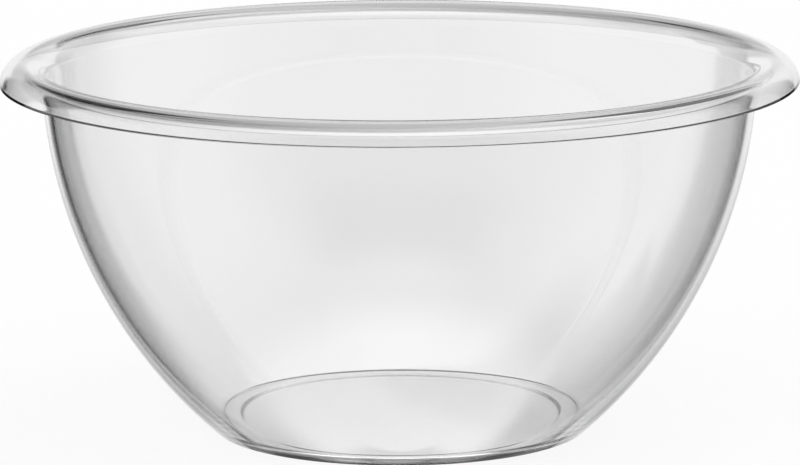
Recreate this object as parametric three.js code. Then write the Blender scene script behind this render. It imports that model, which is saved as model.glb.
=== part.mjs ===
// Clear salad bowl: one moulded shell with a rolled rim that is hollow underneath.
// Millimetres, +Z up. The origin is the centre of the foot, on the surface that it stands on.

import * as THREE from 'three';

// Driving dimensions, in millimetres, with the lean in degrees.
const RIM_DIAMETER = 280;
const HEIGHT = 131.7;
const FOOT_DIAMETER = 130.8;
const WALL_LEAN = 2.8;
const WALL_AT_RIM = 2.9;
const WALL_AT_FOOT = 4;
const ROLL_RADIUS = 9;
const SKIRT_DROP = 7.8;
const LIP_ROUND = 0.4;
const FLOOR_THICKNESS = 4;
const FLOOR_FILLET = 3;
const FOOT_ROUND = 1.2;
const FOOT_RING_WIDTH = 8.4;
const FOOT_RECESS = 0.4;
const RECESS_ROUND = 5;

// Fineness of the facets: sides round the axis, and how far a chord may cut inside its arc.
const SIDES = 72;
const CHORD_ERROR = 0.08;

// Points of the section are (distance from the axis, height), and its angles start outwards.
function polar(centre, radius, angle) {
  const x = centre.x + radius * Math.cos(angle);
  const y = centre.y + radius * Math.sin(angle);
  return new THREE.Vector2(x, y);
}

function heading(from, to) {
  return Math.atan2(to.y - from.y, to.x - from.x);
}

function arc(centre, radius, from, to) {
  const step = 2 * Math.acos(1 - Math.min(CHORD_ERROR / radius, 0.5));
  const steps = Math.max(2, Math.ceil(Math.abs(to - from) / step));
  const curve = new THREE.EllipseCurve(centre.x, centre.y, radius, radius, from, to, to < from);
  return curve.getPoints(steps);
}

// The circle that touches the roll at one point, with its centre along inward, and meets another.
function wallCircle(touch, inward, through) {
  const chord = through.clone().sub(touch);
  const radius = chord.lengthSq() / (2 * chord.dot(inward));
  const centre = touch.clone().addScaledVector(inward, radius);
  return { centre, radius };
}

// Centre of a round that rolls inside a wall circle and lies on a level plane.
function roundCentre(wall, level, radius) {
  const y = level + radius;
  const across = Math.sqrt((wall.radius - radius) ** 2 - (y - wall.centre.y) ** 2);
  return new THREE.Vector2(wall.centre.x + across, y);
}

function join(runs) {
  const points = [];
  for (const point of runs.flat()) {
    const last = points.at(-1);
    if (!last || last.distanceTo(point) > 1e-6) {
      points.push(point);
    }
  }
  return points;
}

// The roll is a constant wall bent over and down. Its lip hangs below the crest and is cut flat underneath.
const lean = THREE.MathUtils.degToRad(WALL_LEAN);
const hollowRadius = ROLL_RADIUS - WALL_AT_RIM;
const lipHeight = ROLL_RADIUS - SKIRT_DROP + LIP_ROUND;
const lipOutside = Math.sqrt((ROLL_RADIUS - LIP_ROUND) ** 2 - lipHeight ** 2);
const lipInside = Math.sqrt((hollowRadius + LIP_ROUND) ** 2 - lipHeight ** 2);
const rollOffset = LIP_ROUND + lipOutside;
const roll = new THREE.Vector2(RIM_DIAMETER / 2 - rollOffset, HEIGHT - ROLL_RADIUS);
const lipOuter = new THREE.Vector2(roll.x + lipOutside, roll.y + lipHeight);
const lipInner = new THREE.Vector2(roll.x + lipInside, roll.y + lipHeight);
const lipStart = heading(lipInner, roll);
const lipEnd = heading(roll, lipOuter);

// Both faces of the wall are single arcs that run into the roll without a break.
const inward = polar(new THREE.Vector2(), 1, Math.PI - lean);
const footCorner = new THREE.Vector2(FOOT_DIAMETER / 2, 0);
const outer = wallCircle(polar(roll, hollowRadius, Math.PI - lean), inward, footCorner);
const footInside = polar(footCorner, WALL_AT_FOOT, heading(footCorner, outer.centre));
const inner = wallCircle(polar(roll, ROLL_RADIUS, Math.PI - lean), inward, footInside);

// The floor meets the inside in a fillet, and the foot's edge is lightly rounded.
const fillet = roundCentre(inner, FLOOR_THICKNESS, FLOOR_FILLET);
const filletStart = heading(inner.centre, fillet);
const footRound = roundCentre(outer, 0, FOOT_ROUND);
const footEnd = heading(outer.centre, footRound);

// Under the floor a shallow recess leaves a ring to stand on. Two equal rounds make its soft step.
const ringInside = FOOT_DIAMETER / 2 - FOOT_RING_WIDTH;
const stepSlope = Math.acos(1 - FOOT_RECESS / (2 * RECESS_ROUND));
const stepReach = RECESS_ROUND * Math.sin(stepSlope);
const stepTop = new THREE.Vector2(ringInside - stepReach, FOOT_RECESS - RECESS_ROUND);
const stepFoot = new THREE.Vector2(ringInside + stepReach, RECESS_ROUND);

// The section runs from the axis under the floor, up the outside, over the rim and down the inside.
const section = join([
  new THREE.Vector2(0, FOOT_RECESS),
  arc(stepTop, RECESS_ROUND, Math.PI / 2, Math.PI / 2 - stepSlope),
  arc(stepFoot, RECESS_ROUND, -Math.PI / 2 - stepSlope, -Math.PI / 2),
  arc(footRound, FOOT_ROUND, -Math.PI / 2, footEnd),
  arc(outer.centre, outer.radius, footEnd, -lean),
  arc(roll, hollowRadius, Math.PI - lean, lipStart + Math.PI),
  arc(lipInner, LIP_ROUND, lipStart, -Math.PI / 2),
  arc(lipOuter, LIP_ROUND, -Math.PI / 2, lipEnd),
  arc(roll, ROLL_RADIUS, lipEnd, Math.PI - lean),
  arc(inner.centre, inner.radius, -lean, filletStart),
  arc(fillet, FLOOR_FILLET, filletStart, -Math.PI / 2),
  new THREE.Vector2(0, FLOOR_THICKNESS),
]);

const shell = new THREE.LatheGeometry(section, SIDES);
shell.rotateX(Math.PI / 2);
const clearPlastic = new THREE.MeshStandardMaterial({
  color: 0xf2f2f2,
  roughness: 0.04,
  metalness: 0,
  transparent: true,
  opacity: 0.3,
});
const bowl = new THREE.Mesh(shell, clearPlastic);
bowl.name = 'bowl';

const part = new THREE.Group();
part.add(bowl);

export default part;
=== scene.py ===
import math

import bpy
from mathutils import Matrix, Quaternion, Vector


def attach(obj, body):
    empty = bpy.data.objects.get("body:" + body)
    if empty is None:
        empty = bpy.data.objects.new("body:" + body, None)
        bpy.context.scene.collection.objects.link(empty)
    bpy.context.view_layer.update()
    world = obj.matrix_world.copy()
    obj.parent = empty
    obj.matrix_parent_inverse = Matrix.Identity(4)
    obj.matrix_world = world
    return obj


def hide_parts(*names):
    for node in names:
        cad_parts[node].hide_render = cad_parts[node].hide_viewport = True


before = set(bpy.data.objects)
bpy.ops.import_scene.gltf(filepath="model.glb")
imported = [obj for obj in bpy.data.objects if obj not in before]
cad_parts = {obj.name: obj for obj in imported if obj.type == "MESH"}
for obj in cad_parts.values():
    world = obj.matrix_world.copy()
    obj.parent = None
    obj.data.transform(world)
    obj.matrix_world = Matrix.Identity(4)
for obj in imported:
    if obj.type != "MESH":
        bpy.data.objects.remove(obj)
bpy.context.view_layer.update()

# A clear salad bowl in metres, +Z up, standing on the floor at z = 0.
MM = 0.001
RIM_DIAMETER = 280.0 * MM
HEIGHT = 131.7 * MM
FOOT_DIAMETER = 130.8 * MM
WALL_LEAN = math.radians(2.8)
WALL_AT_RIM = 2.9 * MM
WALL_AT_FOOT = 4.0 * MM
ROLL_RADIUS = 9.0 * MM
SKIRT_DROP = 7.8 * MM
LIP_ROUND = 0.4 * MM
FLOOR_THICKNESS = 4.0 * MM
FLOOR_FILLET = 3.0 * MM
FOOT_ROUND = 1.2 * MM
FOOT_RING_WIDTH = 8.4 * MM
FOOT_RECESS = 0.4 * MM
RECESS_ROUND = 5.0 * MM

# Fineness of the mesh: sides round the axis, spacing of the points along the section, and the distance
# within which points are welded.
SIDES = 288
WALL_SPACING = 2.4 * MM
ROLL_SPACING = 0.6 * MM
LIP_ROUND_SPACING = 0.08 * MM
LIP_FLAT_SPACING = 0.5 * MM
FILLET_SPACING = 0.8 * MM
FLOOR_SPACING = 2.0 * MM
FOOT_ROUND_SPACING = 0.15 * MM
FOOT_RING_SPACING = 1.0 * MM
STEP_SPACING = 0.2 * MM
WELD = 0.002 * MM

# The clear plastic: width of the clouds that the melt's flow leaves, width of the patches in the tool's
# polish, and the depth that takes away half of the light.
FLOW_WIDTH = 70 * MM
POLISH_WIDTH = 14 * MM
HALF_LIGHT_DEPTH = 140 * MM

# Light goes to and fro many times inside the clear wall before it leaves, so it is followed that far.
LIGHT_BOUNCES = 32

# The photograph's camera: a long lens from the front, a little above the rim. Its focal length is in pixels
# of the picture, and its sensor is in millimetres.
IMAGE_WIDTH = 800
FOCAL_PIXELS = 6250.5
SENSOR_WIDTH = 36.0
CAMERA_PLACE = Vector((0.0, -2.1591, 0.4824))
CAMERA_AIM = Vector((0.0, 0.0, 0.0691))
CAMERA_ROLL = math.radians(-0.25)
CAMERA_REACH = 20.0

# The table goes on well past the picture, and lies a hair under the foot.
TABLE_HALF = 4.0
TABLE_GAP = 0.1 * MM

# The studio round the bowl, painted in this order over a plain room. Each panel has its level, where 1 is
# white, and then its middle, half width and softness of the edge in degrees: first across, where 0 is
# straight behind the bowl and + is to the right, and then upward. They are matched to what shows in the
# photograph's bowl, and set to half degrees.
ROOM_LEVEL = 0.40
ALL_ROUND = (0, 190, 5)
PANELS = (
    (1.70, ALL_ROUND, (90, 53, 13)),            # overhead softbox
    (1.60, ALL_ROUND, (-90, 31, 8)),            # white table, lit from above
    (0.72, (180, 50, 20), (13, 39, 6)),         # room behind the camera
    (1.18, (-92, 48, 25), (9, 63, 26)),         # left softbox
    (1.18, (70, 59, 28), (10, 63, 16)),         # right softbox
    (0.55, (-13, 29, 7), (55, 30, 3)),          # dim wall over the backdrop
    (0.93, (2.5, 32.5, 1.5), (-17, 26, 2)),     # backdrop sheet
    (0.00, (-0.5, 19, 6), (-51, 19, 1)),        # bowl's own shade on the table
    (0.35, (46, 18, 15), (-12, 48, 3)),         # right flag's soft side
    (0.00, (-52, 34, 16), (59, 24, 12)),        # left upper black flag
    (0.00, (-33, 25, 3), (27, 10.5, 1.5)),      # left stand's arm
    (0.00, (13, 6.5, 1.5), (30.5, 9.5, 1)),     # right stand's head
    (0.04, (-33.5, 13.5, 3), (-11, 28, 8)),     # left black flag
    (0.04, (33, 8, 2), (-14, 29, 15)),          # right black flag
)


def linear(hex_colour):
    """An sRGB hex colour as linear RGBA."""
    parts = [int(hex_colour[i:i + 2], 16) / 255 for i in (1, 3, 5)]
    return (*[c / 12.92 if c <= 0.04045 else ((c + 0.055) / 1.055) ** 2.4 for c in parts], 1.0)


def add(tree, kind, settings=None, inputs=None):
    """Adds a node with its settings; each input takes a value, or a link from one or more outputs."""
    node = tree.nodes.new(kind)
    for name, value in (settings or {}).items():
        setattr(node, name, value)
    for name, value in (inputs or {}).items():
        sources = value if isinstance(value, list) else [value]
        for source in sources:
            if isinstance(source, bpy.types.NodeSocket):
                tree.links.new(source, node.inputs[name])
            else:
                node.inputs[name].default_value = source
    return node


def polar(centre, radius, angle):
    """The point at an angle from a centre, in the plane of the section."""
    return centre + Vector((math.cos(angle), math.sin(angle))) * radius


def heading(start, end):
    """The angle of the line from one point of the section to another."""
    return math.atan2(end.y - start.y, end.x - start.x)


def wall_circle(touch, inward, through):
    """Centre and radius of the arc that leaves the roll at touch and passes through a point."""
    chord = through - touch
    radius = chord.length_squared / (2 * chord.dot(inward))
    return touch + inward * radius, radius


def round_centre(wall, level, radius):
    """Centre of a round that lies inside a wall's arc, on a level plane."""
    centre, wall_radius = wall
    height = level + radius
    across = math.sqrt((wall_radius - radius) ** 2 - (height - centre.y) ** 2)
    return Vector((centre.x + across, height))


def bowl_section():
    """The arcs and lines of the bowl's section, from under the floor up the outside and down the inside.

    An arc is (name, centre, radius, start angle, end angle, spacing of its points), and a line is
    (name, start, end, spacing), with points as (distance from the axis, height).
    """
    # The roll is a wall of constant thickness bent over and down. Its lip is cut flat underneath.
    hollow = ROLL_RADIUS - WALL_AT_RIM
    lip_height = ROLL_RADIUS - SKIRT_DROP + LIP_ROUND
    lip_outside = math.sqrt((ROLL_RADIUS - LIP_ROUND) ** 2 - lip_height ** 2)
    lip_inside = math.sqrt((hollow + LIP_ROUND) ** 2 - lip_height ** 2)
    roll = Vector((RIM_DIAMETER / 2 - LIP_ROUND - lip_outside, HEIGHT - ROLL_RADIUS))
    lip_outer = roll + Vector((lip_outside, lip_height))
    lip_inner = roll + Vector((lip_inside, lip_height))
    lip_start = heading(lip_inner, roll)
    lip_end = heading(roll, lip_outer)

    # Both faces of the wall are single arcs that run into the roll without a break.
    touch = math.pi - WALL_LEAN
    inward = polar(Vector((0.0, 0.0)), 1.0, touch)
    corner = Vector((FOOT_DIAMETER / 2, 0.0))
    outer = wall_circle(polar(roll, hollow, touch), inward, corner)
    foot_inside = polar(corner, WALL_AT_FOOT, heading(corner, outer[0]))
    inner = wall_circle(polar(roll, ROLL_RADIUS, touch), inward, foot_inside)

    # The floor meets the inside in a fillet, and the foot's edge is lightly rounded.
    fillet = round_centre(inner, FLOOR_THICKNESS, FLOOR_FILLET)
    fillet_start = heading(inner[0], fillet)
    foot = round_centre(outer, 0.0, FOOT_ROUND)
    foot_end = heading(outer[0], foot)

    # Under the floor a shallow recess leaves a ring to stand on. Two equal rounds make its soft step.
    ring_inside = FOOT_DIAMETER / 2 - FOOT_RING_WIDTH
    slope = math.acos(1 - FOOT_RECESS / (2 * RECESS_ROUND))
    reach = RECESS_ROUND * math.sin(slope)
    step_top = Vector((ring_inside - reach, FOOT_RECESS - RECESS_ROUND))
    step_foot = Vector((ring_inside + reach, RECESS_ROUND))

    down = -math.pi / 2
    arcs = [
        ("Step Top", step_top, RECESS_ROUND, -down, -down - slope, STEP_SPACING),
        ("Step Foot", step_foot, RECESS_ROUND, down - slope, down, STEP_SPACING),
        ("Foot Round", foot, FOOT_ROUND, down, foot_end, FOOT_ROUND_SPACING),
        ("Outer Wall", *outer, foot_end, -WALL_LEAN, WALL_SPACING),
        ("Roll Hollow", roll, hollow, touch, lip_start + math.pi, ROLL_SPACING),
        ("Lip Inside", lip_inner, LIP_ROUND, lip_start, down, LIP_ROUND_SPACING),
        ("Lip Outside", lip_outer, LIP_ROUND, down, lip_end, LIP_ROUND_SPACING),
        ("Roll Crest", roll, ROLL_RADIUS, lip_end, touch, ROLL_SPACING),
        ("Inner Wall", *inner, -WALL_LEAN, fillet_start, WALL_SPACING),
        ("Floor Fillet", fillet, FLOOR_FILLET, fillet_start, down, FILLET_SPACING),
    ]
    below = Vector((0.0, LIP_ROUND))
    lines = [
        ("Recess", Vector((0.0, FOOT_RECESS)), Vector((step_top.x, FOOT_RECESS)), FLOOR_SPACING),
        ("Foot Ring", Vector((step_foot.x, 0.0)), Vector((foot.x, 0.0)), FOOT_RING_SPACING),
        ("Lip", lip_inner - below, lip_outer - below, LIP_FLAT_SPACING),
        ("Floor", Vector((fillet.x, FLOOR_THICKNESS)), Vector((0.0, FLOOR_THICKNESS)), FLOOR_SPACING),
    ]
    return arcs, lines


def bowl_mesh(material):
    """The bowl as a plain mesh: its section spun round the axis by Geometry Nodes and welded."""
    tree = bpy.data.node_groups.new("Bowl Lathe", "GeometryNodeTree")
    sizes = {}

    def size(name, kind, value):
        """Gives the tree a named input, and keeps its value by the socket's identifier."""
        socket = tree.interface.new_socket(name, in_out="INPUT", socket_type=f"NodeSocket{kind}")
        sizes[socket.identifier] = value
        return name

    given = tree.nodes.new("NodeGroupInput")
    arcs, lines = bowl_section()
    orbit = size("Orbit", "Float", RIM_DIAMETER / 2)
    sides = size("Sides", "Int", SIDES)
    weld = size("Weld", "Float", WELD)
    finish = size("Material", "Material", material)
    runs = []
    for name, centre, radius, start, end, spacing in arcs:
        points = math.ceil(abs(end - start) * radius / spacing) + 1
        names = [
            size(f"{name} Points", "Int", points),
            size(f"{name} Radius", "Float", radius),
            size(f"{name} Start", "Float", start),
            size(f"{name} Sweep", "Float", end - start),
            size(f"{name} Centre", "Vector", (centre.x, centre.y, 0.0)),
        ]
        count, bend, first, sweep, middle = (given.outputs[n] for n in names)
        arc = add(tree, "GeometryNodeCurveArc", {"mode": "RADIUS"}, {
            "Resolution": count, "Radius": bend, "Start Angle": first, "Sweep Angle": sweep})
        runs.append(add(tree, "GeometryNodeTransform", None, {
            "Geometry": arc.outputs["Curve"], "Translation": middle}).outputs["Geometry"])
    for name, start, end, spacing in lines:
        names = [
            size(f"{name} Points", "Int", math.ceil((end - start).length / spacing) + 1),
            size(f"{name} Start", "Vector", (start.x, start.y, 0.0)),
            size(f"{name} End", "Vector", (end.x, end.y, 0.0)),
        ]
        count, first, last = (given.outputs[n] for n in names)
        line = add(tree, "GeometryNodeCurvePrimitiveLine", None, {"Start": first, "End": last})
        runs.append(add(tree, "GeometryNodeResampleCurve", {"mode": "COUNT"}, {
            "Curve": line.outputs["Curve"], "Count": count}).outputs["Curve"])

    # The section hangs from a circle as large as the rim, so it is first moved in by that much.
    inset = add(tree, "ShaderNodeMath", {"operation": "MULTIPLY"}, {0: given.outputs[orbit], 1: -1.0})
    move = add(tree, "ShaderNodeCombineXYZ", None, {"X": inset.outputs[0]})
    section = add(tree, "GeometryNodeJoinGeometry", None, {"Geometry": runs})
    hung = add(tree, "GeometryNodeTransform", None, {
        "Geometry": section.outputs["Geometry"], "Translation": move.outputs["Vector"]})
    path = add(tree, "GeometryNodeCurvePrimitiveCircle", {"mode": "RADIUS"}, {
        "Resolution": given.outputs[sides], "Radius": given.outputs[orbit]})
    spun = add(tree, "GeometryNodeCurveToMesh", None, {
        "Curve": path.outputs["Curve"], "Profile Curve": hung.outputs["Geometry"]})

    # Curve to Mesh lays the section's height downward, so the shell is turned over before it is welded.
    upright = add(tree, "GeometryNodeTransform", None, {
        "Geometry": spun.outputs["Mesh"], "Rotation": (math.pi, 0.0, 0.0)})
    shell = add(tree, "GeometryNodeMergeByDistance", None, {
        "Geometry": upright.outputs["Geometry"], "Distance": given.outputs[weld]})
    smooth = add(tree, "GeometryNodeSetShadeSmooth", None, {"Geometry": shell.outputs["Geometry"]})
    real = add(tree, "GeometryNodeRealizeInstances", None, {"Geometry": smooth.outputs["Geometry"]})
    dressed = add(tree, "GeometryNodeSetMaterial", None, {
        "Geometry": real.outputs["Geometry"], "Material": given.outputs[finish]})
    tree.interface.new_socket("Geometry", in_out="OUTPUT", socket_type="NodeSocketGeometry")
    add(tree, "NodeGroupOutput", None, {"Geometry": dressed.outputs["Geometry"]})

    holder = bpy.data.objects.new("bowl_shell", bpy.data.meshes.new("bowl_blank"))
    bpy.context.scene.collection.objects.link(holder)
    modifier = holder.modifiers.new("Bowl Lathe", "NODES")
    modifier.node_group = tree
    for identifier, value in sizes.items():
        modifier[identifier] = value
    graph = bpy.context.evaluated_depsgraph_get()
    mesh = bpy.data.meshes.new_from_object(holder.evaluated_get(graph))
    holder.modifiers.remove(modifier)
    holder.data = mesh
    return holder


def clear_moulded_plastic():
    """Clear styrene-acrylonitrile, moulded in a polished tool: colourless, glossy and see-through.

    The melt's flow leaves the faintest cloud in it, broad as a hand, and the tool's polish a patchy
    gloss about as wide as a fingertip, so that the reflections aren't quite the same everywhere. It takes
    away so little light that the wall looks clear, but the floor, seen through its edge, is grey.
    """
    material = bpy.data.materials.new("clear_san_polished_moulding")
    material.use_nodes = True
    tree = material.node_tree
    tree.nodes.clear()
    place = add(tree, "ShaderNodeTexCoord").outputs["Object"]
    flow = add(tree, "ShaderNodeTexNoise", None, {
        "Vector": place, "Scale": 1 / FLOW_WIDTH, "Detail": 2.0, "Roughness": 0.4})
    tint = add(tree, "ShaderNodeMix", {"data_type": "RGBA"}, {
        "Factor": flow.outputs["Fac"], "A": linear("#f6f6f6"), "B": linear("#fafafa")})
    polish = add(tree, "ShaderNodeTexNoise", None, {
        "Vector": place, "Scale": 1 / POLISH_WIDTH, "Detail": 3.0, "Roughness": 0.5})
    gloss = add(tree, "ShaderNodeMapRange", None, {
        "Value": polish.outputs["Fac"], "From Min": 0.3, "From Max": 0.7, "To Min": 0.0, "To Max": 0.012})
    shader = add(tree, "ShaderNodeBsdfPrincipled", None, {
        "Base Color": tint.outputs["Result"],
        "Roughness": gloss.outputs["Result"],
        "IOR": 1.57,
        "Transmission Weight": 1.0,
    })
    depth = add(tree, "ShaderNodeVolumeAbsorption", None, {
        "Color": linear("#000000"), "Density": math.log(2) / HALF_LIGHT_DEPTH})
    add(tree, "ShaderNodeOutputMaterial", None, {
        "Surface": shader.outputs["BSDF"], "Volume": depth.outputs["Volume"]})
    return material


def studio():
    """A bright backdrop between two black flags, with softboxes at the sides and overhead.

    Each direction of the world gets the level of the last panel painted over it. The camera itself
    sees plain white, and only what the bowl refracts and reflects shows the panels.
    """
    world = bpy.data.worlds.new("studio")
    bpy.context.scene.world = world
    world.use_nodes = True
    tree = world.node_tree
    tree.nodes.clear()
    place = add(tree, "ShaderNodeTexCoord")
    split = add(tree, "ShaderNodeSeparateXYZ", None, {"Vector": place.outputs["Generated"]})
    azimuth = add(tree, "ShaderNodeMath", {"operation": "ARCTAN2"}, {
        0: split.outputs["X"], 1: split.outputs["Y"]}).outputs[0]
    elevation = add(tree, "ShaderNodeMath", {"operation": "ARCSINE"}, {0: split.outputs["Z"]}).outputs[0]
    level = ROOM_LEVEL
    for brightness, across, upward in PANELS:
        spans = []
        for angle, (middle, half, soft) in ((azimuth, across), (elevation, upward)):
            offset = add(tree, "ShaderNodeMath", {"operation": "SUBTRACT"}, {
                0: angle, 1: math.radians(middle)})
            turned = add(tree, "ShaderNodeMath", {"operation": "WRAP"}, {
                0: offset.outputs[0], 1: math.pi, 2: -math.pi})
            away = add(tree, "ShaderNodeMath", {"operation": "ABSOLUTE"}, {0: turned.outputs[0]})
            spans.append(add(tree, "ShaderNodeMapRange", {"interpolation_type": "SMOOTHSTEP"}, {
                "Value": away.outputs[0],
                "From Min": math.radians(half - soft), "From Max": math.radians(half + soft),
                "To Min": 1.0, "To Max": 0.0}).outputs["Result"])
        mask = add(tree, "ShaderNodeMath", {"operation": "MULTIPLY"}, {0: spans[0], 1: spans[1]})
        level = add(tree, "ShaderNodeMix", {"data_type": "FLOAT"}, {
            "Factor": mask.outputs[0], "A": level, "B": brightness}).outputs["Result"]
    rays = add(tree, "ShaderNodeLightPath")
    shown = add(tree, "ShaderNodeMix", {"data_type": "FLOAT"}, {
        "Factor": rays.outputs["Is Camera Ray"], "A": level, "B": 1.0})
    light = add(tree, "ShaderNodeBackground", None, {
        "Color": linear("#ffffff"), "Strength": shown.outputs["Result"]})
    add(tree, "ShaderNodeOutputWorld", None, {"Surface": light.outputs["Background"]})


def white_table():
    """A matt white table that keeps the bowl's faint shadow.

    The bowl doesn't mirror or refract it, because the studio's own white table shows there.
    """
    material = bpy.data.materials.new("matt_white_sheet")
    material.use_nodes = True
    tree = material.node_tree
    tree.nodes.clear()
    matt = add(tree, "ShaderNodeBsdfDiffuse", None, {"Color": linear("#636363")})
    glow = add(tree, "ShaderNodeEmission", None, {"Strength": 0.88})
    both = add(tree, "ShaderNodeAddShader", None, {0: matt.outputs["BSDF"], 1: glow.outputs["Emission"]})
    add(tree, "ShaderNodeOutputMaterial", None, {"Surface": both.outputs["Shader"]})
    mesh = bpy.data.meshes.new("table")
    half = TABLE_HALF
    corners = [(-half, -half, 0.0), (half, -half, 0.0), (half, half, 0.0), (-half, half, 0.0)]
    mesh.from_pydata(corners, [], [(0, 1, 2, 3)])
    mesh.materials.append(material)
    table = bpy.data.objects.new("table", mesh)
    bpy.context.scene.collection.objects.link(table)
    table.location.z = -TABLE_GAP
    table.visible_glossy = False
    table.visible_transmission = False
    return table


def camera():
    """The photograph's view, with its slight roll."""
    data = bpy.data.cameras.new("camera")
    data.sensor_fit = "HORIZONTAL"
    data.sensor_width = SENSOR_WIDTH
    data.lens = FOCAL_PIXELS / IMAGE_WIDTH * SENSOR_WIDTH
    data.clip_end = CAMERA_REACH
    eye = bpy.data.objects.new("camera", data)
    bpy.context.scene.collection.objects.link(eye)
    eye.location = CAMERA_PLACE
    gaze = (CAMERA_AIM - CAMERA_PLACE).to_track_quat("-Z", "Y")
    eye.rotation_euler = (gaze @ Quaternion((0.0, 0.0, 1.0), CAMERA_ROLL)).to_euler()
    bpy.context.scene.camera = eye


camera()
studio()
white_table()
bowl = bowl_mesh(clear_moulded_plastic())
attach(bowl, "root")
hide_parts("bowl")

bpy.context.scene.view_settings.view_transform = "Standard"
bpy.context.scene.cycles.max_bounces = LIGHT_BOUNCES
bpy.context.scene.cycles.glossy_bounces = LIGHT_BOUNCES
bpy.context.scene.cycles.transmission_bounces = LIGHT_BOUNCES
